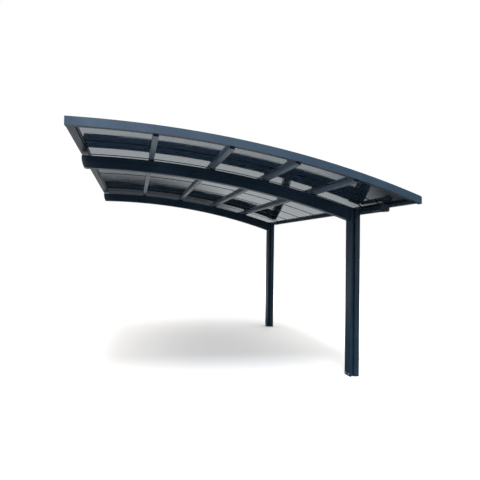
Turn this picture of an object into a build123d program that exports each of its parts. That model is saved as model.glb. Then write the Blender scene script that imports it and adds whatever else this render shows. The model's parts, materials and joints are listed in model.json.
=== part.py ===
"""One-sided carport: two posts on the low side carry curved cantilever beams, purlins and a clear roof.

Millimetres. X runs from the free side towards the posts, Y from the front edge to the back, Z is up.
The origin is on the ground in the middle of the front post. Every long curved piece follows one roof
centre, so the radius of a layer says how high it sits in the roof.
"""

import os
from math import sqrt

from build123d import *

# Overall lay-out
POST_PITCH = 3400.0  # front post to rear post, centres
OVERHANG = 1110.0  # post centre to the outer face of the side frame
Y_FRONT, Y_BACK = -OVERHANG, POST_PITCH + OVERHANG
Y_MID = POST_PITCH / 2
X_FREE = -3450.0  # outer face of the free-edge bar

# Roof layers, from the beams' top outwards, as radii about one centre below the crown
CROWN_X, CROWN_Z = -3175.0, 2697.0  # highest point of the beams' top
R_BEAM_TOP = 10703.0
ROOF_CX, ROOF_CZ = CROWN_X, CROWN_Z - R_BEAM_TOP
SADDLE_T, PURLIN_H = 15.0, 37.0
PANEL_LIFT, PANEL_T = 4.0, 4.0  # room for the rubber strips, and the sheet
FRAME_BELOW, FRAME_H = 22.0, 78.0  # the side frames start below the purlins' top
R_PURLIN = R_BEAM_TOP + SADDLE_T  # underside of the purlins
R_SEAT = R_PURLIN + PURLIN_H  # top of the purlins
R_PANEL = R_SEAT + PANEL_LIFT  # underside of the panels
R_FRAME = R_SEAT - FRAME_BELOW
R_FRAME_TOP = R_FRAME + FRAME_H

# Main beams: deeper towards the post, so the underside has its own tighter arc
BEAM_DEPTH = 138.0  # at the crown
UNDER_SHIFT, UNDER_LIFT = -21.0, 468.0  # centre of the underside's arc from the roof's centre
BEAM_CX, BEAM_CZ = ROOF_CX + UNDER_SHIFT, ROOF_CZ + UNDER_LIFT
R_BEAM_UNDER = R_BEAM_TOP - BEAM_DEPTH - UNDER_LIFT
BEAM_W, BEAM_WALL = 100.0, 4.0
BEAM_CAP_T, BEAM_BACK = 24.0, 12.0  # end cover, and how far it stays behind the free-edge bar's face
BEAM_R = 8.0  # rounding of the beam's long edges
FLUTE_W, FLUTE_D, FLUTE_DROP = 8.0, 4.0, 50.0

# Posts
POST_X, POST_Y, POST_WALL, POST_R = 130.0, 150.0, 4.0, 6.0
FLUTE_X0, FLUTE_X1, POST_FLUTE_D = -50.0, 10.0, 30.0
FOOT_T = 10.0
HEAD_CAP_T, HEAD_CAP_STEP = 4.0, 8.0

# Purlins, free-edge bar, side frames, gutter
PURLIN_X = (-2670.0, -1940.0, -1245.0, -585.0)
PURLIN_W, PURLIN_WALL = 54.0, 3.0
PLUG_T, PLUG_PLAY = 6.0, 0.3
SADDLE_EDGE, SADDLE_IN = 5.0, 6.0  # how far a saddle shows beside a purlin and stays inside the beam's width
EDGE_W, EDGE_H, EDGE_WALL = 75.0, 78.0, 3.0
EDGE_LIFT = 3.5  # underside of the free-edge bar above the underside of the side frames
FRAME_W, FRAME_WALL = 60.0, 3.0
LEDGE_W, LEDGE_T = 18.0, 4.0
FRAME_CAP_T, FRAME_CAP_R, FREE_CAP_T = 30.0, 25.0, 3.0  # covers on the side frames' ends
COVER_PAST = 6.0  # low end covers beyond the gutter
GUTTER_W, GUTTER_H, GUTTER_WALL, GUTTER_LIP = 60.0, 67.0, 3.0, 12.0
GUTTER_SEAT, GUTTER_DROP = 14.0, 35.0  # seat for the panels, and the reach down from there

# Glazing
BAYS = 9
BAY = (Y_BACK - Y_FRONT) / BAYS
BAR_WEB, BAR_FOOT, BAR_CAP, BAR_CAP_T = 4.0, 14.0, 30.0, 4.0
EDGE_GAP = 2.0  # free play between a panel and the metal beside it
PANEL_PAST = 28.0  # the panels reach this far over the gutter
GASKET_W, GASKET_PLAY = 12.0, 0.3

# Rain water: a box on the gutter's inner wall, a pipe to the front post and a spout near its foot
PIPE_R, PIPE_WALL, PIPE_DROP = 24.0, 2.0, 29.0  # the pipe's middle lies below the gutter's underside
PIPE_PLAY, BEND_IN = 4.0, 3.0  # between the pipe and the post, and inside its bend
BOX_IN, BOX_LENGTH, BOX_WALL, BOX_R = 420.0, 100.0, 3.0, 22.0
BOX_TOP_GAP = 6.0  # between the box and the panel above it
SLOT_LENGTH, SLOT_HEIGHT = 60.0, 18.0
SPOUT_R, SPOUT_BEND_IN, SPOUT_Z, SPOUT_DROP = 20.0, 2.0, 245.0, 30.0
BRACKET_T, BRACKET_W, BRACKET_DROP, BRACKET_REACH = 3.0, 36.0, 70.0, 100.0


def roof_z(x, radius):
    """Height of a roof layer above the ground at x."""
    return ROOF_CZ + sqrt(radius**2 - (x - ROOF_CX) ** 2)


# The low side, worked out from the post: the pipe runs between the post and the gutter's inner wall
PIPE_X = POST_X / 2 + PIPE_PLAY + PIPE_R
GUTTER_X0 = PIPE_X + PIPE_R + BOX_WALL
GUTTER_X1 = GUTTER_X0 + GUTTER_W
GUTTER_Z = roof_z(GUTTER_X0, R_SEAT) - GUTTER_DROP
GUTTER_TOP = GUTTER_Z + GUTTER_H
PIPE_Z = GUTTER_Z - PIPE_DROP
PANEL_X1 = GUTTER_X0 + PANEL_PAST
FRAME_END = GUTTER_X1 + COVER_PAST - FRAME_CAP_T
BOX_Y = Y_FRONT + FRAME_W + BOX_IN + BOX_LENGTH / 2

os.makedirs("parts", exist_ok=True)


def under_z(x, deeper=0.0):
    """Height of the beam's underside at x."""
    return BEAM_CZ + sqrt((R_BEAM_UNDER + deeper) ** 2 - (x - BEAM_CX) ** 2)


def layer(x0, x1, r0, r1):
    """Outline of a slice of the roof between two radii, in the X-Z plane."""
    mid = (x0 + x1) / 2
    ThreePointArc((x0, roof_z(x0, r0)), (mid, roof_z(mid, r0)), (x1, roof_z(x1, r0)))
    Line((x1, roof_z(x1, r0)), (x1, roof_z(x1, r1)))
    ThreePointArc((x1, roof_z(x1, r1)), (mid, roof_z(mid, r1)), (x0, roof_z(x0, r1)))
    Line((x0, roof_z(x0, r1)), (x0, roof_z(x0, r0)))


def upright(y):
    """The X-Z plane at y; what is drawn on it is pushed out equally to both sides."""
    return Plane.XZ.offset(-y)


def beam_side(x0, x1, inset, lean=0.0):
    """Side outline of a main beam between x0 and x1, drawn in from the outer faces by inset."""
    low, high, mid = inset, R_BEAM_TOP - inset, (x0 + x1) / 2
    ThreePointArc((x0 + lean, under_z(x0 + lean, low)), (mid, under_z(mid, low)), (x1, under_z(x1, low)))
    Line((x1, under_z(x1, low)), (x1, roof_z(x1, high)))
    ThreePointArc((x1, roof_z(x1, high)), (mid, roof_z(mid, high)), (x0, roof_z(x0, high)))
    Line((x0, roof_z(x0, high)), (x0 + lean, under_z(x0 + lean, low)))


# Posts and everything that stands with them
BEAM_X0 = X_FREE + BEAM_CAP_T + BEAM_BACK  # where the hollow beam starts
BEAM_X1 = POST_X / 2 - POST_WALL  # it reaches the far wall inside the post head
LEAN = 30.0  # the free end slopes in by this much towards its underside
for y, name in ((0.0, "front"), (POST_PITCH, "rear")):
    with BuildPart() as post:
        with BuildSketch():
            RectangleRounded(POST_X, POST_Y, POST_R)
            for side in (-1, 1):
                with Locations((FLUTE_X0 + (FLUTE_X1 - FLUTE_X0) / 2, side * (POST_Y - POST_FLUTE_D) / 2)):
                    Rectangle(FLUTE_X1 - FLUTE_X0, POST_FLUTE_D, mode=Mode.SUBTRACT)
        extrude(amount=CROWN_Z)
        with BuildSketch():
            core_y = POST_Y - 2 * POST_FLUTE_D - 2 * POST_WALL
            Rectangle(POST_X - 2 * POST_WALL, core_y)
            left = POST_X / 2 - POST_WALL + FLUTE_X0 - POST_WALL
            right = POST_X / 2 - POST_WALL - FLUTE_X1 - POST_WALL
            with Locations((-POST_X / 2 + POST_WALL + left / 2, 0)):
                Rectangle(left, POST_Y - 2 * POST_WALL)
            with Locations((POST_X / 2 - POST_WALL - right / 2, 0)):
                Rectangle(right, POST_Y - 2 * POST_WALL)
        extrude(amount=CROWN_Z, mode=Mode.SUBTRACT)
        if name == "front":
            # rain water comes in at the top and leaves near the foot
            with BuildSketch(Plane.YZ.offset(POST_X / 2 - POST_WALL)):
                with Locations((0, PIPE_Z)):
                    Circle(PIPE_R - PIPE_WALL)
                with Locations((0, SPOUT_Z)):
                    Circle(SPOUT_R - PIPE_WALL)
            extrude(amount=POST_WALL, mode=Mode.SUBTRACT)
        # the head is cut to the slope of the beam's top
        with BuildSketch(Plane.XZ):
            with BuildLine():
                layer(-POST_X, POST_X, R_BEAM_TOP, R_BEAM_TOP + CROWN_Z)
            make_face()
        extrude(amount=POST_Y, both=True, mode=Mode.SUBTRACT)
        # slot in the car side of the head, in which the beam lies
        with BuildSketch(Plane.XZ):
            with BuildLine():
                beam_side(-POST_X, BEAM_X1, 0)
            make_face()
        extrude(amount=BEAM_W / 2, both=True, mode=Mode.SUBTRACT)
    placed = Pos(0, y, 0) * post.part
    placed.label = f"{name}_post"
    export_step(placed, f"parts/{name}_post.step")

    with BuildPart() as beam:
        with BuildSketch(Plane.XZ):
            with BuildLine():
                beam_side(BEAM_X0, BEAM_X1, 0, LEAN)
            make_face()
        extrude(amount=BEAM_W / 2, both=True)
        fillet(beam.edges().filter_by(GeomType.CIRCLE), BEAM_R)
        with BuildSketch(Plane.XZ):
            with BuildLine():
                beam_side(BEAM_X0 - 60, BEAM_X1 + 20, BEAM_WALL, LEAN)
            make_face()
        extrude(amount=BEAM_W / 2 - BEAM_WALL - FLUTE_D, both=True, mode=Mode.SUBTRACT)
        # one narrow groove along each side, a little below the top
        for side in (-1, 1):
            with BuildSketch(Plane.XZ.offset(-side * (BEAM_W - FLUTE_D) / 2)):
                with BuildLine():
                    low = R_BEAM_TOP - FLUTE_DROP - FLUTE_W
                    layer(BEAM_X0 - 60, BEAM_X1 + 20, low, low + FLUTE_W)
                make_face()
            extrude(amount=FLUTE_D / 2, both=True, mode=Mode.SUBTRACT)
    placed = Pos(0, y, 0) * beam.part
    placed.label = f"{name}_beam"
    export_step(placed, f"parts/{name}_beam.step")

    with BuildPart() as cap:
        with BuildSketch(Plane.XZ):
            with BuildLine():
                top, low = roof_z(BEAM_X0, R_BEAM_TOP), under_z(BEAM_X0 + LEAN)
                nose = BEAM_X0 - BEAM_CAP_T
                Line((BEAM_X0, top), (nose, top - 2))
                Spline((nose, top - 2), (nose + 4, (top + low) / 2 + 8), (BEAM_X0 + 4, low + 1.5))
                Line((BEAM_X0 + 4, low + 1.5), (BEAM_X0 + LEAN, low))
                Line((BEAM_X0 + LEAN, low), (BEAM_X0, top))
            make_face()
        extrude(amount=BEAM_W / 2, both=True)
        rims = cap.edges().group_by(Axis.Y)[0] + cap.edges().group_by(Axis.Y)[-1]
        meets_beam = (BEAM_X0 + LEAN / 2, (top + low) / 2)
        free = [e for e in rims if abs((e @ 0.5).X - meets_beam[0]) + abs((e @ 0.5).Z - meets_beam[1]) > 1]
        fillet(free, BEAM_R / 2)
    placed = Pos(0, y, 0) * cap.part
    placed.label = f"{name}_beam_cap"
    export_step(placed, f"parts/{name}_beam_cap.step")

    with BuildPart() as head:
        with BuildSketch(Plane.XZ):
            with BuildLine():
                layer(-POST_X / 2, POST_X / 2 - HEAD_CAP_STEP, R_BEAM_TOP, R_BEAM_TOP + HEAD_CAP_T)
            make_face()
        extrude(amount=POST_Y / 2, both=True)
    placed = Pos(0, y, 0) * head.part
    placed.label = f"{name}_post_cap"
    export_step(placed, f"parts/{name}_post_cap.step")

    # one saddle under each purlin, between its underside and the beam's top
    with BuildPart() as saddles:
        for x in PURLIN_X:
            with BuildSketch(Plane.XZ):
                with BuildLine():
                    half = PURLIN_W / 2 + SADDLE_EDGE
                    layer(x - half, x + half, R_BEAM_TOP, R_PURLIN)
                make_face()
            extrude(amount=BEAM_W / 2 - BEAM_R - SADDLE_IN, both=True)
    placed = Pos(0, y, 0) * saddles.part
    placed.label = f"{name}_saddles"
    export_step(placed, f"parts/{name}_saddles.step")


def long_tube(x0, x1, r0, r1, wall):
    """A straight hollow purlin from side frame to side frame, its faces following the roof layers."""
    length = Y_BACK - Y_FRONT - 2 * FRAME_W
    with BuildPart(mode=Mode.PRIVATE) as tube:
        with BuildSketch(upright(Y_MID)):
            with BuildLine():
                layer(x0, x1, r0, r1)
            make_face()
        extrude(amount=length / 2, both=True)
        with BuildSketch(upright(Y_MID)):
            with BuildLine():
                layer(x0 + wall, x1 - wall, r0 + wall, r1 - wall)
            make_face()
        extrude(amount=length / 2, both=True, mode=Mode.SUBTRACT)
    return tube.part


for number, x in enumerate(PURLIN_X, start=1):
    purlin = long_tube(x - PURLIN_W / 2, x + PURLIN_W / 2, R_PURLIN, R_SEAT, PURLIN_WALL)
    purlin.label = f"purlin_{number}"
    export_step(purlin, f"parts/purlin_{number}.step")

# Plugs in the open ends of the purlins
with BuildPart() as plugs:
    inset = PURLIN_WALL + PLUG_PLAY
    for y in (Y_FRONT + FRAME_W + PLUG_T / 2, Y_BACK - FRAME_W - PLUG_T / 2):
        for x in PURLIN_X:
            half = PURLIN_W / 2 - inset
            with BuildSketch(upright(y)):
                with BuildLine():
                    layer(x - half, x + half, R_PURLIN + inset, R_SEAT - inset)
                make_face()
            extrude(amount=PLUG_T / 2, both=True)
plugs.part.label = "purlin_end_plugs"
export_step(plugs.part, "parts/purlin_end_plugs.step")

# Bar along the free edge: a square-set box with a ledge for the panel ends
with BuildPart() as edge:
    length = Y_BACK - Y_FRONT - 2 * FRAME_W
    inner_x, edge_z = X_FREE + EDGE_W, roof_z(X_FREE, R_FRAME) + EDGE_LIFT
    ledge_z = roof_z(inner_x, R_SEAT)
    with BuildSketch(upright(Y_MID)):
        with Locations((X_FREE + EDGE_W / 2, edge_z + EDGE_H / 2)):
            Rectangle(EDGE_W, EDGE_H)
            Rectangle(EDGE_W - 2 * EDGE_WALL, EDGE_H - 2 * EDGE_WALL, mode=Mode.SUBTRACT)
        with Locations((inner_x + LEDGE_W / 2, ledge_z - LEDGE_T / 2)):
            Rectangle(LEDGE_W, LEDGE_T)
    extrude(amount=length / 2, both=True)
edge.part.label = "free_edge_bar"
export_step(edge.part, "parts/free_edge_bar.step")

# Side frames: a curved hollow extrusion with an inner ledge under the panels
for y, inward, name in ((Y_FRONT, 1, "front"), (Y_BACK, -1, "rear")):
    with BuildPart() as frame:
        mid_y = y + inward * FRAME_W / 2
        with BuildSketch(upright(mid_y)):
            with BuildLine():
                layer(X_FREE, FRAME_END, R_FRAME, R_FRAME_TOP)
            make_face()
        extrude(amount=FRAME_W / 2, both=True)
        with BuildSketch(upright(mid_y)):
            with BuildLine():
                layer(X_FREE - 20, FRAME_END + 20, R_FRAME + FRAME_WALL, R_FRAME_TOP - FRAME_WALL)
            make_face()
        extrude(amount=FRAME_W / 2 - FRAME_WALL, both=True, mode=Mode.SUBTRACT)
        with BuildSketch(upright(y + inward * (FRAME_W + LEDGE_W / 2))):
            with BuildLine():
                layer(X_FREE + EDGE_W + LEDGE_W, GUTTER_X0, R_SEAT, R_PANEL)
            make_face()
        extrude(amount=LEDGE_W / 2, both=True)
    frame.part.label = f"{name}_side_frame"
    export_step(frame.part, f"parts/{name}_side_frame.step")

# Covers on the side frames' open ends: a flat one at the free side, a rounded one at the low side
with BuildPart() as free_caps:
    for y, inward in ((Y_FRONT, 1), (Y_BACK, -1)):
        with BuildSketch(Plane.YZ.offset(X_FREE)):
            low, high = roof_z(X_FREE, R_FRAME), roof_z(X_FREE, R_FRAME_TOP)
            with Locations((y + inward * FRAME_W / 2, (low + high) / 2)):
                Rectangle(FRAME_W, high - low)
        extrude(amount=-FREE_CAP_T)
free_caps.part.label = "free_end_caps"
export_step(free_caps.part, "parts/free_end_caps.step")

with BuildPart() as low_caps:
    for y, inward in ((Y_FRONT, 1), (Y_BACK, -1)):
        tip = FRAME_END + FRAME_CAP_T
        low, high = roof_z(FRAME_END, R_FRAME), roof_z(FRAME_END, R_FRAME_TOP)
        tip_low, tip_high = roof_z(tip, R_FRAME), roof_z(tip, R_FRAME_TOP)
        with BuildSketch(upright(y + inward * FRAME_W / 2)) as side:
            with BuildLine():
                Polyline((FRAME_END, low), (tip, tip_low), (tip, tip_high), (FRAME_END, high), close=True)
            make_face()
            fillet(side.vertices().sort_by(Axis.X)[-2:].sort_by(Axis.Y)[-1], FRAME_CAP_R)
        extrude(amount=FRAME_W / 2, both=True)
low_caps.part.label = "low_end_caps"
export_step(low_caps.part, "parts/low_end_caps.step")

# Gutter: an open channel along the low side, its inner wall carrying a seat for the panels
with BuildPart() as gutter:
    length = Y_BACK - Y_FRONT - 2 * FRAME_W
    with BuildSketch(upright(Y_MID)):
        with BuildLine():
            x0, x1, t = GUTTER_X0, GUTTER_X1, GUTTER_WALL
            seat_x = x0 + GUTTER_SEAT
            Polyline(
                (x0, GUTTER_Z),
                (x1, GUTTER_Z),
                (x1, GUTTER_TOP),
                (x1 - GUTTER_LIP, GUTTER_TOP),
                (x1 - GUTTER_LIP, GUTTER_TOP - t),
                (x1 - t, GUTTER_TOP - t),
                (x1 - t, GUTTER_Z + t),
                (x0 + t, GUTTER_Z + t),
                (x0 + t, roof_z(x0 + t, R_SEAT - t)),
                (seat_x, roof_z(seat_x, R_SEAT - t)),
                (seat_x, roof_z(seat_x, R_SEAT)),
                (x0, roof_z(x0, R_SEAT)),
                close=True,
            )
        make_face()
    extrude(amount=length / 2, both=True)
    # slot in the inner wall, through which the water runs into the box
    with BuildSketch(Plane.YZ.offset(GUTTER_X0)):
        with Locations((BOX_Y, GUTTER_Z + GUTTER_WALL + SLOT_HEIGHT / 2)):
            SlotOverall(SLOT_LENGTH, SLOT_HEIGHT)
    extrude(amount=GUTTER_WALL, mode=Mode.SUBTRACT)
gutter.part.label = "gutter"
export_step(gutter.part, "parts/gutter.step")

# Angles that hold the gutter on the posts' outer faces
with BuildPart() as brackets:
    for y in (POST_Y / 4 + 10, POST_PITCH - POST_Y / 4 - 10):
        with BuildSketch(upright(y)):
            with BuildLine():
                x0, z1, t = POST_X / 2, GUTTER_Z, BRACKET_T
                Polyline(
                    (x0, z1 - BRACKET_DROP),
                    (x0 + t, z1 - BRACKET_DROP),
                    (x0 + t, z1 - t),
                    (x0 + BRACKET_REACH, z1 - t),
                    (x0 + BRACKET_REACH, z1),
                    (x0, z1),
                    close=True,
                )
            make_face()
        extrude(amount=BRACKET_W / 2, both=True)
brackets.part.label = "gutter_brackets"
export_step(brackets.part, "parts/gutter_brackets.step")

# Outlet box: hangs on the gutter's inner wall, open to its slot, with a hole for the pipe at the back
box_top = roof_z(GUTTER_X0, R_PANEL) - BOX_TOP_GAP
box_x0, box_z0 = PIPE_X - PIPE_R - BOX_WALL, PIPE_Z - PIPE_R - BOX_WALL
with BuildPart() as box:
    with BuildSketch(Plane.YZ.offset(box_x0)) as face:
        with Locations((BOX_Y, (box_z0 + box_top) / 2)):
            Rectangle(BOX_LENGTH, box_top - box_z0)
        fillet(face.vertices().sort_by(Axis.Y)[:2].sort_by(Axis.X)[0], BOX_R)
    extrude(amount=GUTTER_X0 - box_x0)
    with BuildSketch(Plane.YZ.offset(box_x0 + BOX_WALL)) as hollow:
        with Locations((BOX_Y, (box_z0 + box_top) / 2)):
            Rectangle(BOX_LENGTH - 2 * BOX_WALL, box_top - box_z0 - 2 * BOX_WALL)
        fillet(hollow.vertices().sort_by(Axis.Y)[:2].sort_by(Axis.X)[0], BOX_R - BOX_WALL)
    extrude(amount=GUTTER_X0 - box_x0 - 2 * BOX_WALL, mode=Mode.SUBTRACT)
    with BuildSketch(Plane.YZ.offset(GUTTER_X0 - BOX_WALL)):
        with Locations((BOX_Y, GUTTER_Z + GUTTER_WALL + SLOT_HEIGHT / 2)):
            SlotOverall(SLOT_LENGTH, SLOT_HEIGHT)
    extrude(amount=BOX_WALL, mode=Mode.SUBTRACT)
    with BuildSketch(upright(BOX_Y + (BOX_LENGTH - BOX_WALL) / 2)):
        with Locations((PIPE_X, PIPE_Z)):
            Circle(PIPE_R - PIPE_WALL)
    extrude(amount=BOX_WALL / 2, both=True, mode=Mode.SUBTRACT)
box.part.label = "gutter_outlet_box"
export_step(box.part, "parts/gutter_outlet_box.step")

# Drain pipe: from the box along beside the gutter, and round a bend into the side of the front post
with BuildPart() as pipe:
    with BuildLine() as run:
        x, y, z, bend = PIPE_X, BOX_Y + BOX_LENGTH / 2, PIPE_Z, PIPE_R + BEND_IN
        half = bend * (1 - sqrt(0.5))
        Line((x, y, z), (x, -bend, z))
        ThreePointArc((x, -bend, z), (x - half, -half, z), (x - bend, 0, z))
        Line((x - bend, 0, z), (POST_X / 2, 0, z))
    with BuildSketch(upright(y)):
        with Locations((x, z)):
            Circle(PIPE_R)
            Circle(PIPE_R - PIPE_WALL, mode=Mode.SUBTRACT)
    sweep(path=run.wire())
pipe.part.label = "drain_pipe"
export_step(pipe.part, "parts/drain_pipe.step")

# Spout: the water leaves the front post through an elbow that points down near the foot
with BuildPart() as spout:
    with BuildLine() as turn:
        x, z, bend = POST_X / 2, SPOUT_Z, SPOUT_R + SPOUT_BEND_IN
        half = bend * sqrt(0.5)
        ThreePointArc((x, 0, z), (x + half, 0, z - bend + half), (x + bend, 0, z - bend))
        Line((x + bend, 0, z - bend), (x + bend, 0, z - bend - SPOUT_DROP))
    with BuildSketch(Plane.YZ.offset(x)):
        with Locations((0, z)):
            Circle(SPOUT_R)
            Circle(SPOUT_R - PIPE_WALL, mode=Mode.SUBTRACT)
    sweep(path=turn.wire())
spout.part.label = "drain_spout"
export_step(spout.part, "parts/drain_spout.step")

# Feet: a plate inside the foot of each post, flush with the ground
for y, name in ((0.0, "front"), (POST_PITCH, "rear")):
    with BuildPart() as foot:
        with BuildSketch(Plane.XY):
            with Locations((0, y)):
                Rectangle(POST_X - 2 * POST_WALL, POST_Y - 2 * POST_FLUTE_D - 2 * POST_WALL)
        extrude(amount=FOOT_T)
    foot.part.label = f"{name}_foot"
    export_step(foot.part, f"parts/{name}_foot.step")

# Glazing bars, following the roof from the free edge to the gutter, and the panels between them
BAR_X0, R_CAP = X_FREE + EDGE_W, R_PANEL + PANEL_T
bar_y = [Y_FRONT + BAY * i for i in range(1, BAYS)]
for number, y in enumerate(bar_y, start=1):
    with BuildPart() as bar:
        for width, low, high, start in (
            (BAR_FOOT, R_SEAT, R_PANEL, BAR_X0),
            (BAR_WEB, R_PANEL, R_CAP, BAR_X0 + EDGE_GAP),
            (BAR_CAP, R_CAP, R_CAP + BAR_CAP_T, BAR_X0 + EDGE_GAP),
        ):
            with BuildSketch(upright(y)):
                with BuildLine():
                    layer(start, GUTTER_X0 + GUTTER_SEAT, low, high)
                make_face()
            extrude(amount=width / 2, both=True)
    bar.part.label = f"glazing_bar_{number}"
    export_step(bar.part, f"parts/glazing_bar_{number}.step")

edges = [Y_FRONT + FRAME_W - BAR_WEB / 2, *bar_y, Y_BACK - FRAME_W + BAR_WEB / 2]
for number in range(1, BAYS + 1):
    y0 = edges[number - 1] + BAR_WEB / 2 + EDGE_GAP
    y1 = edges[number] - BAR_WEB / 2 - EDGE_GAP
    with BuildPart() as panel:
        with BuildSketch(upright((y0 + y1) / 2)):
            with BuildLine():
                layer(BAR_X0 + EDGE_GAP, PANEL_X1, R_PANEL, R_PANEL + PANEL_T)
            make_face()
        extrude(amount=(y1 - y0) / 2, both=True)
    panel.part.label = f"roof_panel_{number}"
    export_step(panel.part, f"parts/roof_panel_{number}.step")

# Rubber strips between the panels and what they lie on
with BuildPart() as gaskets:
    for number in range(1, BAYS + 1):
        y0 = edges[number - 1] + (BAR_FOOT / 2 if number > 1 else BAR_WEB / 2 + LEDGE_W) + 1.0
        y1 = edges[number] - (BAR_FOOT / 2 if number < BAYS else BAR_WEB / 2 + LEDGE_W) - 1.0
        for x in (*PURLIN_X, BAR_X0 + 3 + GASKET_W / 2, GUTTER_X0 + 2 + GASKET_W / 2):
            with BuildSketch(upright((y0 + y1) / 2)):
                with BuildLine():
                    layer(x - GASKET_W / 2, x + GASKET_W / 2, R_SEAT, R_PANEL - GASKET_PLAY)
                make_face()
            extrude(amount=(y1 - y0) / 2, both=True)
gaskets.part.label = "panel_gaskets"
export_step(gaskets.part, "parts/panel_gaskets.step")
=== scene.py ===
# %% [markdown]
# # A one-sided carport with a curved clear roof
#
# Two posts stand along the low side. Each carries a curved cantilever beam, four purlins lie across
# the beams, and tinted clear sheets lie on the purlins, held down by slim bars. The construction comes
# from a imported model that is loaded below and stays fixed. This lesson dresses it: it gives every
# surface its real finish and adds the small fixings that are too fine for the construction model.

# %% Load the construction
import json
from math import pi, radians

import bpy
import numpy as np
from mathutils import Matrix, Vector


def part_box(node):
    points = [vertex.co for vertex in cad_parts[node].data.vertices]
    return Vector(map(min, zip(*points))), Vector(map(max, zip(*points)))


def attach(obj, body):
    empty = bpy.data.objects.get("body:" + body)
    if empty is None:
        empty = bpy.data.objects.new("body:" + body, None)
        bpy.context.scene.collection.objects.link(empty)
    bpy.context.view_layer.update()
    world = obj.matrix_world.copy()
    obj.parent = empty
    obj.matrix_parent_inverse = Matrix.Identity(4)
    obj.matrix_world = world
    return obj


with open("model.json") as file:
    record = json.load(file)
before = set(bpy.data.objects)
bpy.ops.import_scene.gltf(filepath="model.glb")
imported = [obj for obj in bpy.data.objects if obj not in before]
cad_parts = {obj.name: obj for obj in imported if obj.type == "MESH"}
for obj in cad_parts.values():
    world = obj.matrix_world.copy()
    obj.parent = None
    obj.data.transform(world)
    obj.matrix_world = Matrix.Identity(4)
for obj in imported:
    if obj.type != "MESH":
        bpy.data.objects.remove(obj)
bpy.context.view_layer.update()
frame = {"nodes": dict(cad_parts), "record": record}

# %% [markdown]
# ## Colours and nodes
#
# Paint charts and colour pickers give a colour as a hex code, which is how a screen shows it. Light
# adds up on another scale, so one function turns the hex code to that linear scale. A second function
# adds a shader node with its settings and its links in one line, which keeps a material readable.


# %% Colour and node helpers
def linear(code):
    """Linear RGBA of an sRGB hex code: each channel is undone by the sRGB curve."""
    channels = np.array([int(code[i : i + 2], 16) for i in (1, 3, 5)]) / 255
    bent = np.where(channels <= 0.04045, channels / 12.92, ((channels + 0.055) / 1.055) ** 2.4)
    return (*bent.tolist(), 1.0)


def add_node(tree, kind, links=None, inputs=None, **settings):
    """A new node: settings are its own properties, inputs its socket values, links what feeds a socket."""
    node = tree.nodes.new(kind)
    for key, value in settings.items():
        setattr(node, key, value)
    for key, value in (inputs or {}).items():
        node.inputs[key].default_value = value
    for key, source in (links or {}).items():
        tree.links.new(source, node.inputs[key])
    return node


def new_material(name, **sockets):
    """A material with one Principled shader, whose constant values are set on its own sockets."""
    material = bpy.data.materials.new(name)
    material.use_nodes = True
    shader = material.node_tree.nodes["Principled BSDF"]
    for key, value in sockets.items():
        shader.inputs[key.replace("_", " ")].default_value = value
    return material, material.node_tree, shader


def set_ramp(node, stops):
    """Puts the given (place, colour) stops on a colour ramp."""
    ramp = node.color_ramp
    while len(ramp.elements) < len(stops):
        ramp.elements.new(0.5)
    for element, (place, colour) in zip(ramp.elements, stops):
        element.position, element.color = place, colour


MM = 0.001


def lumps(size_mm):
    """Scale of a noise texture whose lumps are that wide: its cells per metre, each two lumps wide."""
    return 1000 / size_mm / 2


print("a mid grey in linear light", [round(v, 4) for v in linear("#808080")])

# %% [markdown]
# ## Powder-coated aluminium
#
# Posts, beams, purlins, side frames and glazing bars are aluminium extrusions with a satin powder coat
# in a blue-grey that is nearly black. Powder melts into a skin with a faint orange peel a few
# millimetres across, and dust and rain leave it a little duller and greyer in slow cloudy patches, most
# of all on faces that look up. It is paint, so it isn't metallic: a dark base with a soft clear shine.
# The peel is drawn 4 mm across, and the patches about 300 mm. The four purlins show clearly lighter and
# greyer in the photograph than the beams under them, so they get the same coat in a lighter grey: painted
# bounce light, standing in for the light that sunlit ground throws up on their undersides.


# %% Powder coat
PEEL_MM, PATCH_MM = 4.0, 300.0


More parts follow.
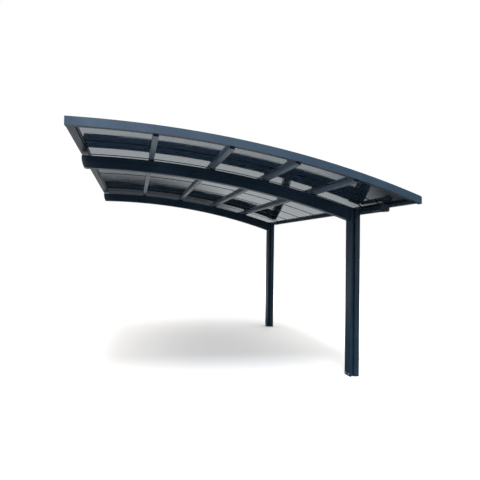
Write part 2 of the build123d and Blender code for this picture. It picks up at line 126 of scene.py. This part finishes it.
def powder_coat(name, base, dusty, roughness):
    """Satin powder coat: cloudy dust over one paint colour, dust on faces that look up, fine peel as bump."""
    material, tree, shader = new_material(name, Specular_IOR_Level=0.36, IOR=1.5)
    place = add_node(tree, "ShaderNodeTexCoord").outputs["Object"]
    patch = add_node(
        tree,
        "ShaderNodeTexNoise",
        links={"Vector": place},
        inputs={"Scale": lumps(PATCH_MM), "Detail": 5.0, "Roughness": 0.62},
    )
    normal = add_node(tree, "ShaderNodeNewGeometry").outputs["Normal"]
    look_up = add_node(tree, "ShaderNodeSeparateXYZ", links={"Vector": normal})
    upward = add_node(
        tree,
        "ShaderNodeMapRange",
        links={"Value": look_up.outputs["Z"]},
        inputs={"From Min": 0.3, "From Max": 1.0, "To Min": 0.25, "To Max": 0.9},
    )
    cloud = add_node(
        tree,
        "ShaderNodeMapRange",
        links={"Value": patch.outputs["Fac"]},
        inputs={"From Min": 0.42, "From Max": 0.72, "To Min": 0.0, "To Max": 1.0},
    )
    dust = add_node(
        tree,
        "ShaderNodeMath",
        operation="MULTIPLY",
        links={0: cloud.outputs["Result"], 1: upward.outputs["Result"]},
    )
    colour = add_node(
        tree,
        "ShaderNodeMix",
        data_type="RGBA",
        links={"Factor": dust.outputs["Value"]},
    )
    colour.inputs["A"].default_value = linear(base)
    colour.inputs["B"].default_value = linear(dusty)
    tree.links.new(colour.outputs["Result"], shader.inputs["Base Color"])
    dull = add_node(
        tree,
        "ShaderNodeMapRange",
        links={"Value": dust.outputs["Value"]},
        inputs={"To Min": roughness, "To Max": roughness + 0.22},
    )
    tree.links.new(dull.outputs["Result"], shader.inputs["Roughness"])
    peel = add_node(
        tree,
        "ShaderNodeTexNoise",
        links={"Vector": place},
        inputs={"Scale": lumps(PEEL_MM), "Detail": 1.0},
    )
    bump = add_node(
        tree,
        "ShaderNodeBump",
        links={"Height": peel.outputs["Fac"]},
        inputs={"Strength": 0.06, "Distance": 0.4 * MM},
    )
    tree.links.new(bump.outputs["Normal"], shader.inputs["Normal"])
    return material


coat = powder_coat("satin powder coat on aluminium", "#122531", "#3a4b59", 0.4)
# Painted bounce light: the purlins' lighter grey stands in for light thrown up from sunlit ground.
purlin_coat_with_painted_bounce = powder_coat("powder coat with painted bounce light on the purlins", "#525b62", "#666e75", 0.4)
print(coat.name, "peel", PEEL_MM, "mm, patches", PATCH_MM, "mm")

# %% [markdown]
# ## Tinted polycarbonate sheet
#
# The roof panels are solid polycarbonate, 4 mm thick, extruded between polished rolls and cold-bent
# over the purlins. From below and at a flat angle it works like a dark mirror, which is why each beam
# shows twice in the photograph: once itself and once upside down in the sheet above it. The shader is
# one Principled shader with full transmission, the plastic's own refraction index of 1.585 and a smoky
# tint. Rolled sheet is never quite flat, so slow waves about 400 mm long bend its reflections, and a
# thin film of dust makes it a little rougher in places.

# %% Polycarbonate
WAVE_MM, FILM_MM = 400.0, 120.0


def clear_sheet():
    """Tinted clear sheet with long shallow waves and a film of dust that varies its roughness."""
    material, tree, shader = new_material(
        "smoky polycarbonate sheet",
        IOR=1.585,
        Transmission_Weight=1.0,
    )
    shader.inputs["Base Color"].default_value = linear("#1f2b37")
    place = add_node(tree, "ShaderNodeTexCoord").outputs["Object"]
    wave = add_node(
        tree,
        "ShaderNodeTexNoise",
        links={"Vector": place},
        inputs={"Scale": lumps(WAVE_MM), "Detail": 1.0},
    )
    film = add_node(
        tree,
        "ShaderNodeTexNoise",
        links={"Vector": place},
        inputs={"Scale": lumps(FILM_MM), "Detail": 6.0, "Roughness": 0.6},
    )
    rough = add_node(
        tree,
        "ShaderNodeMapRange",
        links={"Value": film.outputs["Fac"]},
        inputs={"From Min": 0.35, "From Max": 0.75, "To Min": 0.02, "To Max": 0.12},
    )
    tree.links.new(rough.outputs["Result"], shader.inputs["Roughness"])
    bump = add_node(
        tree,
        "ShaderNodeBump",
        links={"Height": wave.outputs["Fac"]},
        inputs={"Strength": 0.3, "Distance": 2.0 * MM},
    )
    tree.links.new(bump.outputs["Normal"], shader.inputs["Normal"])
    return material


sheet = clear_sheet()
print(sheet.name, "waves", WAVE_MM, "mm")

# %% [markdown]
# ## Plastics, rubber and bare metal
#
# End covers are moulded weatherproof plastic with a fine spark-eroded grain. Seals are black synthetic
# rubber, matt and slightly chalky. The drain pipe is extruded rigid vinyl in a dark grey with a clear
# gloss along its length. Screws are cold-formed stainless steel with a soft sheen, and the feet inside
# the posts are mill-finish aluminium with faint lines from the die. Each grain has its size in
# millimetres, and all of them share slow mottled patches about 125 mm wide.


# %% Grained plastics, rubber and metals
MOTTLE_MM = 125.0


def grained(name, code, tone, roughness, grain_mm, depth_mm, stretch=(1, 1, 1), **sockets):
    """A finish whose grain, of a size in millimetres, varies its colour, its roughness and its bump."""
    material, tree, shader = new_material(name, **sockets)
    place = add_node(tree, "ShaderNodeTexCoord").outputs["Object"]
    stretched = add_node(tree, "ShaderNodeMapping", links={"Vector": place}, inputs={"Scale": stretch})
    grain = add_node(
        tree,
        "ShaderNodeTexNoise",
        links={"Vector": stretched.outputs["Vector"]},
        inputs={"Scale": lumps(grain_mm), "Detail": 4.0},
    )
    mottle = add_node(
        tree,
        "ShaderNodeTexNoise",
        links={"Vector": place},
        inputs={"Scale": lumps(MOTTLE_MM), "Detail": 3.0},
    )
    ramp = add_node(tree, "ShaderNodeValToRGB", links={"Fac": mottle.outputs["Fac"]})
    set_ramp(ramp, [(0.35, linear(code)), (0.7, linear(tone))])
    tree.links.new(ramp.outputs["Color"], shader.inputs["Base Color"])
    rough = add_node(
        tree,
        "ShaderNodeMapRange",
        links={"Value": grain.outputs["Fac"]},
        inputs={"To Min": roughness - 0.06, "To Max": roughness + 0.06},
    )
    tree.links.new(rough.outputs["Result"], shader.inputs["Roughness"])
    bump = add_node(
        tree,
        "ShaderNodeBump",
        links={"Height": grain.outputs["Fac"]},
        inputs={"Strength": 0.3, "Distance": depth_mm * MM},
    )
    tree.links.new(bump.outputs["Normal"], shader.inputs["Normal"])
    return material


cover_plastic = grained("moulded weatherproof plastic", "#1a222e", "#242d3a", 0.25, 1.5, 0.2, IOR=1.5)
rubber = grained("black synthetic rubber", "#0e0f10", "#1b1c1d", 0.72, 2.0, 0.2, IOR=1.5)
vinyl_pipe = grained("extruded rigid vinyl pipe", "#2b3033", "#343a3e", 0.2, 6.0, 0.1, (1, 0.05, 1), IOR=1.53)
mill_alloy = grained(
    "mill-finish aluminium", "#a9adb0", "#bcc0c3", 0.42, 1.0, 0.1, (1, 1, 0.03), Metallic=1.0
)
stainless = grained("stainless steel", "#b4b2ad", "#c6c4c0", 0.3, 0.8, 0.05, Metallic=1.0)
print(len(bpy.data.materials), "materials so far")

# %% [markdown]
# ## Dressing the construction
#
# The record names a slot for each node of the construction, and each slot has one finish. Only the
# purlins differ, with the lighter coat that paints bounce light onto their undersides. The shapes are left as
# they are.

# %% Give every node its finish
finish_of_slot = {
    "coated_aluminium": coat,
    "roof_sheet": sheet,
    "gasket": rubber,
    "cap_plastic": cover_plastic,
    "drain_pipe": vinyl_pipe,
    "foot_alloy": mill_alloy,
}
slot_of_node = {entry["node"]: entry["material_slot"] for entry in frame["record"]["subparts"]}
finish_of_node = {node: finish_of_slot[slot] for node, slot in slot_of_node.items()}
# The purlins take the lighter coat, whose grey is painted bounce light.
finish_of_node.update({f"purlin_{number}": purlin_coat_with_painted_bounce for number in range(1, 5)})
for name, piece in frame["nodes"].items():
    piece.data.materials.clear()
    piece.data.materials.append(finish_of_node[name])
print({slot: list(slot_of_node.values()).count(slot) for slot in finish_of_slot})

# %% [markdown]
# ## Meshes from arrays
#
# The small pieces that follow are surfaces on a grid: rows of points, each row with the same count. The
# corner numbers of a grid's faces follow from its two counts, so they are worked out once here, as whole
# arrays. The last helper puts points and faces into a mesh and gives it its finish and its body.


# %% Mesh helpers
def grid_quads(rows, columns, closed_rows=False):
    """Corner numbers of the quads between neighbours of a grid whose columns close into a loop."""
    row = np.arange(rows if closed_rows else rows - 1)[:, None]
    column = np.arange(columns)[None, :]
    right, below = (column + 1) % columns, (row + 1) % rows
    here, next_row = row * columns, below * columns
    corners = [here + column, here + right, next_row + right, next_row + column]
    return np.stack(np.broadcast_arrays(*corners), axis=-1).reshape(-1, 4)


def copies_of(faces, points_each, count):
    """The same faces for each of several copies that follow each other in the list of points."""
    return (np.arange(count)[:, None, None] * points_each + faces).reshape(-1, faces.shape[1]).tolist()


def add_piece(name, points, faces, material, slot):
    """A mesh from points and faces, smooth but for its sharp edges, that rides with the carport."""
    mesh = bpy.data.meshes.new(name)
    mesh.from_pydata(points.reshape(-1, 3).tolist(), [], faces)
    mesh.polygons.foreach_set("use_smooth", [True] * len(mesh.polygons))
    mesh.set_sharp_from_angle(angle=radians(32))
    mesh.materials.append(material)
    piece = bpy.data.objects.new(name, mesh)
    bpy.context.scene.collection.objects.link(piece)
    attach(piece, "root")
    triangles = sum(len(face) - 2 for face in faces)
    print(name, triangles, "triangles")
    return piece


print("a closed grid of 3 by 4 points has", len(grid_quads(3, 4, closed_rows=True)), "quads")

# %% [markdown]
# ## Screws and bolts as turned profiles
#
# A screw head is round, and so are its washer and its socket, so half of its outline says everything:
# the outline is turned about the axis. A bolt is the same shape with some rings bent to a hexagon. The
# copies of one head differ only in place and direction, so one product of arrays makes them all.


# %% Turned heads
def turned_heads(profile, places, axes, across=(0, 1, 0), sides=24):
    """One turned head at each place, with its axis along the given direction.

    Row i of the profile holds radius r, height h and k. The ring's points are r times (cos a, sin a) at
    height h. Where k is 1 the ring is a hexagon whose flats are r from the axis: the radius becomes r over
    the cosine of the angle to the middle of the nearest flat. The first and last row are single points.
    """
    angle = np.arange(sides) * 2 * pi / sides
    flat = 1 / np.cos(angle % (pi / 3) - pi / 6)
    radius, height, six = (np.array(profile[1:-1], float).T * [[MM], [MM], [1]])[:, :, None]
    reach = radius * (1 + six * (flat - 1))
    level = np.broadcast_to(height, reach.shape)
    rings = np.stack([reach * np.cos(angle), reach * np.sin(angle), level], axis=-1)
    poles = np.array([[0, 0, profile[0][1] * MM], [0, 0, profile[-1][1] * MM]])
    head = np.concatenate([rings.reshape(-1, 3), poles])

    normal, across = np.broadcast_to(axes, places.shape), np.broadcast_to(across, places.shape)
    turn = np.stack([across, np.cross(normal, across), normal], axis=1)
    points = places[:, None, :] + head @ turn

    rows, around = len(profile) - 2, np.arange(sides)
    low, high = rows * sides, rows * sides + 1
    bottom = np.stack([around * 0 + low, (around + 1) % sides, around], axis=-1)
    last = (rows - 1) * sides
    top = np.stack([last + around, last + (around + 1) % sides, around * 0 + high], axis=-1)
    count, each = len(places), len(head)
    faces = copies_of(grid_quads(rows, sides), each, count)
    return points, faces + copies_of(bottom, each, count) + copies_of(top, each, count)


disc = turned_heads([(0, 0, 0), (1, 0, 0), (1, 1, 0), (0, 1, 0)], np.zeros((2, 3)), (0, 0, 1))
print("two plain discs have", disc[0].size // 3, "points and", len(disc[1]), "faces")

# %% [markdown]
# ## Rings and carried profiles
#
# A collar is a closed profile turned about an axis, like a tyre. A rubber lip or a strip is a closed
# profile that is carried along a path, as the real one is drawn through a die. Both give a closed mesh,
# because the profile closes on itself and the carried one gets a face at each end.


# %% Collars and carried profiles
def collar(profile, place, axis, across, sides=40):
    """A ring round an axis: a closed profile of (radius, height) points is turned once about it."""
    angle = np.arange(sides) * 2 * pi / sides
    radius, height = (np.array(profile, float).T * MM)[:, :, None]
    third = np.cross(axis, across)
    round_axis = np.cos(angle)[:, None] * np.array(across) + np.sin(angle)[:, None] * third
    points = place + radius[..., None] * round_axis + height[..., None] * np.array(axis)
    return points, grid_quads(len(profile), sides, closed_rows=True).tolist()


def carried(profile, path, across, up):
    """A closed profile carried along a path: each point is path + p across + q up, and both ends are closed.

    Seen from ahead with up above, the profile runs so that across times up points along the path.
    """
    path, across, up = (np.broadcast_to(v, np.shape(path)) for v in (path, across, up))
    p, q = np.array(profile, float).T * MM
    points = path[:, None] + p[:, None] * across[:, None] + q[:, None] * up[:, None]
    steps, around = points.shape[:2]
    ends = [list(range(around))[::-1], [(steps - 1) * around + j for j in range(around)]]
    return points, grid_quads(steps, around).tolist() + ends


def joined(parts):
    """Several point and face sets as one: the faces of each part count on from the points before it."""
    points, faces, start = [], [], 0
    for some, corners in parts:
        some = some.reshape(-1, 3)
        points.append(some)
        faces += [[corner + start for corner in face] for face in corners]
        start += len(some)
    return np.concatenate(points), faces


rod = carried([(0, 0), (1, 0), (1, 1), (0, 1)], np.array([(0, 0, 0), (0, 1, 0)]), (1, 0, 0), (0, 0, 1))
print("a square rod has", len(rod[1]), "faces")

# %% [markdown]
# ## Where the roof lies
#
# Every long piece of the roof follows an arc about one line below the carport. Its middle is the only
# value stated here. The radius of a layer then comes from the top of a piece of the construction, where
# the roof is highest, so the screws and lips sit exactly on what carries them.

# %% Roof arcs from the construction
ROOF_X, ROOF_Z = -3.175, -8.006
bar_boxes = [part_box(f"glazing_bar_{number}") for number in range(1, 9)]
bar_y = np.array([(low[1] + high[1]) / 2 for low, high in bar_boxes])
cap_top = bar_boxes[0][1][2] - ROOF_Z
CAP_T = 4 * MM
sheet_top = cap_top - CAP_T
bar_x0, bar_x1 = bar_boxes[0][0][0], bar_boxes[0][1][0]


def on_roof(x, radius):
    """Points of the roof at x in a layer of that radius, and the layer's outward direction there."""
    sine = (np.asarray(x) - ROOF_X) / radius
    out = np.stack([sine, sine * 0, np.sqrt(1 - sine**2)], axis=-1)
    return np.array([ROOF_X, 0, ROOF_Z]) + radius * out, out


print("cap top radius", round(cap_top, 4), "m, bars at", bar_y.round(3))

# %% [markdown]
# ## Screws along the glazing bars
#
# Each bar's cap is held down by pan-head screws through sealing washers, about every 400 mm, so that
# wind can't lift the sheets. A screw is a turned profile: a washer's rim, a low dome and a socket in its
# middle. Its underside goes half a millimetre into the cap, so no light shows beneath it.

# %% Bar screws
pan_head = [
    (0, -0.5, 0), (5.2, -0.5, 0), (5.2, 1.2, 0), (5.0, 2.6, 0), (4.2, 3.8, 0), (2.9, 4.5, 0),
    (1.8, 4.6, 0), (1.7, 2.9, 0), (0, 2.9, 0),
]
seal_ring = [(0, -0.3, 0), (7.5, -0.3, 0), (7.8, 0.4, 0), (7.2, 1.3, 0), (5.0, 1.5, 0), (0, 1.5, 0)]
SCREWS_EACH, FIRST_IN, LAST_IN = 9, 0.07, 0.05  # on each bar, and how far inside its ends
screw_x = np.linspace(bar_x0 + FIRST_IN, bar_x1 - LAST_IN, SCREWS_EACH)
on_cap, cap_up = on_roof(screw_x, cap_top)
screw_places = (on_cap[None] + np.stack([bar_y * 0, bar_y, bar_y * 0], axis=-1)[:, None]).reshape(-1, 3)
screw_axes = np.tile(cap_up, (len(bar_y), 1))
add_piece("bar_screws", *turned_heads(pan_head, screw_places, screw_axes), stainless, "foot_alloy")
add_piece("bar_screw_seals", *turned_heads(seal_ring, screw_places, screw_axes), rubber, "gasket")

# %% [markdown]
# ## Rubber lips on the sheets
#
# A soft black lip runs under each edge of a cap and presses on the sheet, and a taller bead closes the
# joint between the outer sheets and the frame that goes round them. Both are small profiles carried
# along the roof's arc, or straight along the free edge.

# %% Lips and beads
lip = [(14.5, 0.1), (17.8, 0.1), (17.6, 0.9), (16.2, 2.0), (14.9, 2.9), (14.5, 2.9)]
bead = [(0, -1.0), (1.9, -1.0), (1.9, 0.1), (6.5, 0.1), (6.2, 1.0), (4.0, 2.6), (1.6, 4.6), (0, 5.0)]
ARC_STEPS, END_PLAY = 60, 2 * MM
lip_line, lip_up = on_roof(np.linspace(bar_x0 + END_PLAY, bar_x1 - END_PLAY, ARC_STEPS), sheet_top)
across = np.array([0, 1, 0])


def mirrored(profile):
    """The profile on the other side of its path, in the order that keeps its faces outwards."""
    return [(-p, q) for p, q in profile][::-1]


lips = [
    carried(shape, lip_line + y * across, across, lip_up)
    for y in bar_y
    for shape in (lip, mirrored(lip))
]
add_piece("cap_lips", *joined(lips), rubber, "gasket")

SHEET_PLAY = 2 * MM  # between an outer sheet and the frame round it
front_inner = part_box("roof_panel_1")[0][1] - SHEET_PLAY
rear_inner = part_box("roof_panel_9")[1][1] + SHEET_PLAY
panel_x0, panel_x1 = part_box("roof_panel_1")[0][0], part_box("gutter")[0][0]
bead_line, bead_up = on_roof(np.linspace(panel_x0, panel_x1, ARC_STEPS), sheet_top)
edge_line = on_roof(np.full(2, panel_x0 - SHEET_PLAY), sheet_top)[0]
edge_line = edge_line + np.outer([rear_inner, front_inner], across)
beads = [
    carried(bead, bead_line + front_inner * across, across, bead_up),
    carried(mirrored(bead), bead_line + rear_inner * across, across, bead_up),
    carried(bead, edge_line, (1, 0, 0), (0, 0, 1)),
]
add_piece("frame_beads", *joined(beads), rubber, "gasket")

# %% [markdown]
# ## Bolts and screws on the metal
#
# Hexagon bolts with washers hold the gutter brackets on the posts and the gutter on the brackets. Two
# larger ones pin each post to the plate in its foot, and show as pale dots in the photograph. Small
# countersunk screws hold the covers on the side frames' ends. A bolt's profile is drawn for 8 mm thread
# and scaled for the others.

# %% Hexagon bolts and cover screws
hex_head = [
    (0, -0.5, 0), (8.0, -0.5, 0), (8.0, 1.3, 0), (7.8, 1.6, 0), (6.5, 1.6, 1), (6.5, 6.0, 1),
    (6.3, 6.8, 0), (4.6, 7.0, 0), (4.4, 6.7, 0), (0, 6.7, 0),
]
flat_head = [
    (0, -0.5, 0), (4.0, -0.5, 0), (4.0, 0.2, 0), (3.7, 0.5, 0), (1.7, 0.5, 0), (1.6, 0.1, 0), (0, 0.1, 0),
]
THREAD_MM, BRACKET_THREAD_MM, FOOT_THREAD_MM = 8.0, 6.0, 10.0


def bolts(thread, places, axis):
    """Hexagon bolts with washers of that thread in millimetres, all along one axis."""
    scale = thread / THREAD_MM
    return turned_heads([(r * scale, h * scale, k) for r, h, k in hex_head], places, axis)


leg_low, leg_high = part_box("gutter_brackets")
BRACKET_T, BRACKET_HALF = 3 * MM, 18 * MM
LEG_RISES, ARM_INSETS = (0.014, 0.044), (0.012, 0.032)
bracket_y = (leg_low[1] + BRACKET_HALF, leg_high[1] - BRACKET_HALF)
on_leg = [(leg_low[0] + BRACKET_T, y, leg_low[2] + rise) for y in bracket_y for rise in LEG_RISES]
under_arm = [(leg_high[0] - back, y, leg_high[2] - BRACKET_T) for y in bracket_y for back in ARM_INSETS]
bracket_bolts = joined([
    bolts(BRACKET_THREAD_MM, np.array(on_leg), (1, 0, 0)),
    bolts(BRACKET_THREAD_MM, np.array(under_arm), (0, 0, -1)),
])
add_piece("bracket_bolts", *bracket_bolts, stainless, "foot_alloy")

FOOT_RISE, FOOT_APART = 0.027, 0.035
at_feet = []
for post in ("front_post", "rear_post"):
    low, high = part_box(post)
    at_feet += [(low[0], (low[1] + high[1]) / 2 + side * FOOT_APART, FOOT_RISE) for side in (-1, 1)]
add_piece("foot_bolts", *bolts(FOOT_THREAD_MM, np.array(at_feet), (-1, 0, 0)), stainless, "foot_alloy")

free_low, free_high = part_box("free_end_caps")
low_low, low_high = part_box("low_end_caps")
FRAME_HALF, SCREW_IN, LOW_SCREW_RISE = 0.030, 0.016, 0.026
frame_y = (free_low[1] + FRAME_HALF, free_high[1] - FRAME_HALF)
free_z = (free_low[2] + SCREW_IN, free_high[2] - SCREW_IN)
on_free_end = [(free_low[0], y, z) for y in frame_y for z in free_z]
on_low_end = [(low_high[0], y, low_low[2] + LOW_SCREW_RISE) for y in frame_y]
cover_screws = joined([
    turned_heads(flat_head, np.array(on_free_end), (-1, 0, 0)),
    turned_heads(flat_head, np.array(on_low_end), (1, 0, 0)),
])
add_piece("cover_screws", *cover_screws, stainless, "foot_alloy")

# %% [markdown]
# ## Collars on the drain pipe
#
# Where the pipe leaves the outlet box it sits in a short socket with a rounded lip. A thin flange hides
# its hole in the post, and another goes round the spout near the foot. All three are rings: a closed
# profile turned about the pipe's own axis.

# %% Pipe collars
pipe_low, pipe_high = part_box("drain_pipe")
box_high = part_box("gutter_outlet_box")[1]
spout_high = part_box("drain_spout")[1]
post_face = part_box("front_post")[1][0]
PIPE_R_MM, SPOUT_R_MM = 24.0, 20.0
pipe_x, pipe_z = pipe_high[0] - PIPE_R_MM * MM, pipe_low[2] + PIPE_R_MM * MM
spout_z = spout_high[2] - SPOUT_R_MM * MM


def socket(r):
    """Profile of a short socket on a pipe of radius r, its rim rounded off."""
    return [(r, 0), (r + 2.8, 0), (r + 2.8, 9), (r + 2.2, 10.4), (r + 0.9, 11), (r, 11)]


def flange(r):
    """Profile of a thin flange round a pipe of radius r, flat on its wall and rounded outside."""
    return [(r - 1, 0), (r + 9, 0), (r + 9, 1.2), (r + 7.6, 2.4), (r - 1, 3)]


collars = joined([
    collar(socket(PIPE_R_MM), np.array([pipe_x, box_high[1], pipe_z]), (0, 1, 0), (1, 0, 0)),
    collar(flange(PIPE_R_MM), np.array([post_face, 0, pipe_z]), (1, 0, 0), (0, 1, 0)),
    collar(flange(SPOUT_R_MM), np.array([post_face, 0, spout_z]), (1, 0, 0), (0, 1, 0)),
])
add_piece("pipe_collars", *collars, vinyl_pipe, "drain_pipe")

# %% [markdown]
# ## Strips in the posts' grooves
#
# A wide groove runs down the front and back of each post. In the photograph only its left part shows as
# a dark line about 40 mm wide. On posts like this a snap-in strip closes part of the groove, so here a
# strip fills its right side, just below the face, and what stays open is as narrow as in the photograph.

# %% Groove strips
GROOVE_X1, OPEN_X1 = 0.010, -0.006
STRIP_DEPTH, STRIP_SINK, STRIP_PLAY, STRIP_FOOT = 0.022, 0.0004, 0.0004, 0.001
beam_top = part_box("front_beam")[1][2] - ROOF_Z
strip_top = on_roof(GROOVE_X1, beam_top)[0][2] - 1 * MM
strips = []
for post in ("front_post", "rear_post"):
    low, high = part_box(post)
    for face, inward in ((low[1], 1), (high[1], -1)):
        outer, inner = face + inward * STRIP_SINK, face + inward * STRIP_DEPTH
        left, right = OPEN_X1, GROOVE_X1 - STRIP_PLAY
        middle = ((left + right) / 2, (outer + inner) / 2)
        half_x, half_y = (right - left) / 2 / MM, abs(outer - inner) / 2 / MM
        outline = [(-half_x, -half_y), (half_x, -half_y), (half_x, half_y), (-half_x, half_y)]
        path = np.array([(*middle, STRIP_FOOT), (*middle, strip_top)])
        strips.append(carried(outline, path, (1, 0, 0), (0, 1, 0)))
add_piece("groove_strips", *joined(strips), coat, "coated_aluminium")

# %% [markdown]
# ## The camera
#
# The photograph was taken from in front, near the free side and at about eye height, with a lens like
# 30 mm on full frame. The camera's place and its three turns were worked out from the posts' feet, the
# beams and the front frame, which all lie in known planes of the construction.

# %% Camera
EYE = Vector((-2.842, -4.826, 1.680))
LENS_MM, SENSOR_MM, PICTURE = 30.0, 36.0, 480
TURN, TILT, ROLL = radians(-14.74), radians(1.10), radians(0.83)

camera = bpy.data.objects.new("camera", bpy.data.cameras.new("camera"))
camera.data.lens, camera.data.sensor_width = LENS_MM, SENSOR_MM
camera.data.clip_end = 200.0
camera.matrix_world = (
    Matrix.Translation(EYE)
    @ Matrix.Rotation(TURN, 4, "Z")
    @ Matrix.Rotation(pi / 2 + TILT, 4, "X")
    @ Matrix.Rotation(ROLL, 4, "Z")
)
bpy.context.scene.collection.objects.link(camera)
bpy.context.scene.camera = camera


def pixel(point):
    """Where a point lands in the picture: it is put into the camera's axes and divided by its depth."""
    x, y, z = camera.matrix_world.inverted() @ Vector(point)
    scale = PICTURE * LENS_MM / SENSOR_MM / -z
    return PICTURE / 2 + x * scale, PICTURE / 2 - y * scale


print("front post foot", [round(v, 1) for v in pixel((0, 0, 0))])
print("rear post foot", [round(v, 1) for v in pixel((0, 3.4, 0))])

# %% [markdown]
# ## Floor and light
#
# The photograph is cut out on white, so the camera sees a white sky and a white floor with a soft
# shadow. The sheets mirror the floor, and it lights every underside, so it shows a darker tone to
# mirrored rays and another to scattered ones. The mirrored tone runs from dark to pale and back to dark
# with the distance, as in the photograph's sheets. The floor is stage, not part of the object. A wide
# lamp overhead is the main light, one in front lifts the side frame, and a small one on the left lifts
# the free edge.

# %% Studio
FLOOR_HALF = 60.0
SPREAD = 25.0  # metres of floor behind the front post over which its tone changes
SKY_STRENGTH = 2.1


def soft_world():
    """A sky that is brighter overhead than at the horizon: the blend follows the height of the direction."""
    world = bpy.data.worlds.new("studio sky")
    bpy.context.scene.world = world
    world.use_nodes = True
    tree = world.node_tree
    tree.nodes.clear()
    place = add_node(tree, "ShaderNodeTexCoord").outputs["Generated"]
    height = add_node(tree, "ShaderNodeSeparateXYZ", links={"Vector": place}).outputs["Z"]
    ramp = add_node(tree, "ShaderNodeValToRGB", links={"Fac": height})
    set_ramp(
        ramp,
        [
            (0.0, (0.05, 0.055, 0.06, 1)),
            (0.12, (0.12, 0.13, 0.14, 1)),
            (0.3, (0.8, 0.84, 0.9, 1)),
            (1.0, (1.0, 1.03, 1.08, 1)),
        ],
    )
    dim = add_node(tree, "ShaderNodeBackground", inputs={"Strength": SKY_STRENGTH})
    tree.links.new(ramp.outputs["Color"], dim.inputs["Color"])
    white = add_node(tree, "ShaderNodeBackground", inputs={"Color": (1, 1, 1, 1), "Strength": 1.0})
    rays = add_node(tree, "ShaderNodeLightPath")
    choice = {0: rays.outputs["Is Camera Ray"], 1: dim.outputs["Background"], 2: white.outputs["Background"]}
    both = add_node(tree, "ShaderNodeMixShader", links=choice)
    add_node(tree, "ShaderNodeOutputWorld", links={"Surface": both.outputs["Shader"]})


def pale_floor():
    """One square of floor, a hair below the feet: pale to the eye, darker in mirrors and for bounces."""
    mesh = bpy.data.meshes.new("floor")
    corners = [(x * FLOOR_HALF, y * FLOOR_HALF, 0) for x, y in ((-1, -1), (1, -1), (1, 1), (-1, 1))]
    mesh.from_pydata(corners, [], [(0, 1, 2, 3)])
    floor = bpy.data.objects.new("floor", mesh)
    bpy.context.scene.collection.objects.link(floor)
    floor.location.z = -0.002
    material, tree, shader = new_material("pale studio floor", Roughness=0.9, Specular_IOR_Level=0.1)
    spot = add_node(tree, "ShaderNodeTexCoord").outputs["Object"]
    place = add_node(tree, "ShaderNodeSeparateXYZ", links={"Vector": spot})
    part = add_node(
        tree, "ShaderNodeMapRange", links={"Value": place.outputs["Y"]}, inputs={"From Max": SPREAD}
    )
    tone = add_node(tree, "ShaderNodeValToRGB", links={"Fac": part.outputs["Result"]})
    stops = [(3.6, "#2c2e30"), (5.6, "#a8a9a6"), (14, "#a8a9a6"), (19, "#2c2e30")]
    set_ramp(tone, [(metres / SPREAD, linear(code)) for metres, code in stops])
    tone = tone.outputs["Color"]
    ray = add_node(tree, "ShaderNodeLightPath")
    for seen_by, code in (("Is Diffuse Ray", "#84878a"), ("Is Camera Ray", "#d8d3cc")):
        links = {"Factor": ray.outputs[seen_by], "A": tone}
        mixed = add_node(tree, "ShaderNodeMix", data_type="RGBA", links=links)
        mixed.inputs["B"].default_value = linear(code)
        tone = mixed.outputs["Result"]
    tree.links.new(tone, shader.inputs["Base Color"])
    mesh.materials.append(material)


def area_light(name, place, aim, size, power, code, shows=True):
    """A square area light of that size in metres, turned from its place towards its aim."""
    light = bpy.data.lights.new(name, "AREA")
    light.shape, light.size, light.energy = "SQUARE", size, power
    light.color = linear(code)[:3]
    lamp = bpy.data.objects.new(name, light)
    bpy.context.scene.collection.objects.link(lamp)
    lamp.location = place
    lamp.rotation_mode = "QUATERNION"
    lamp.rotation_quaternion = (Vector(aim) - Vector(place)).to_track_quat("-Z", "Y")
    lamp.visible_glossy = shows


bpy.context.scene.view_settings.view_transform = "Standard"
soft_world()
pale_floor()
area_light("overhead", (-5.0, 3.0, 12.0), (-1.6, 1.7, 0.0), 9.0, 500.0, "#fffaf3", shows=False)
area_light("front", (-2.4, -5.0, 9.5), (-1.6, -1.0, 2.6), 4.0, 2500.0, "#e6efff")
area_light("left", (-10.0, 0.0, 1.2), (-1.5, 1.7, 2.4), 4.0, 110.0, "#eef4ff")
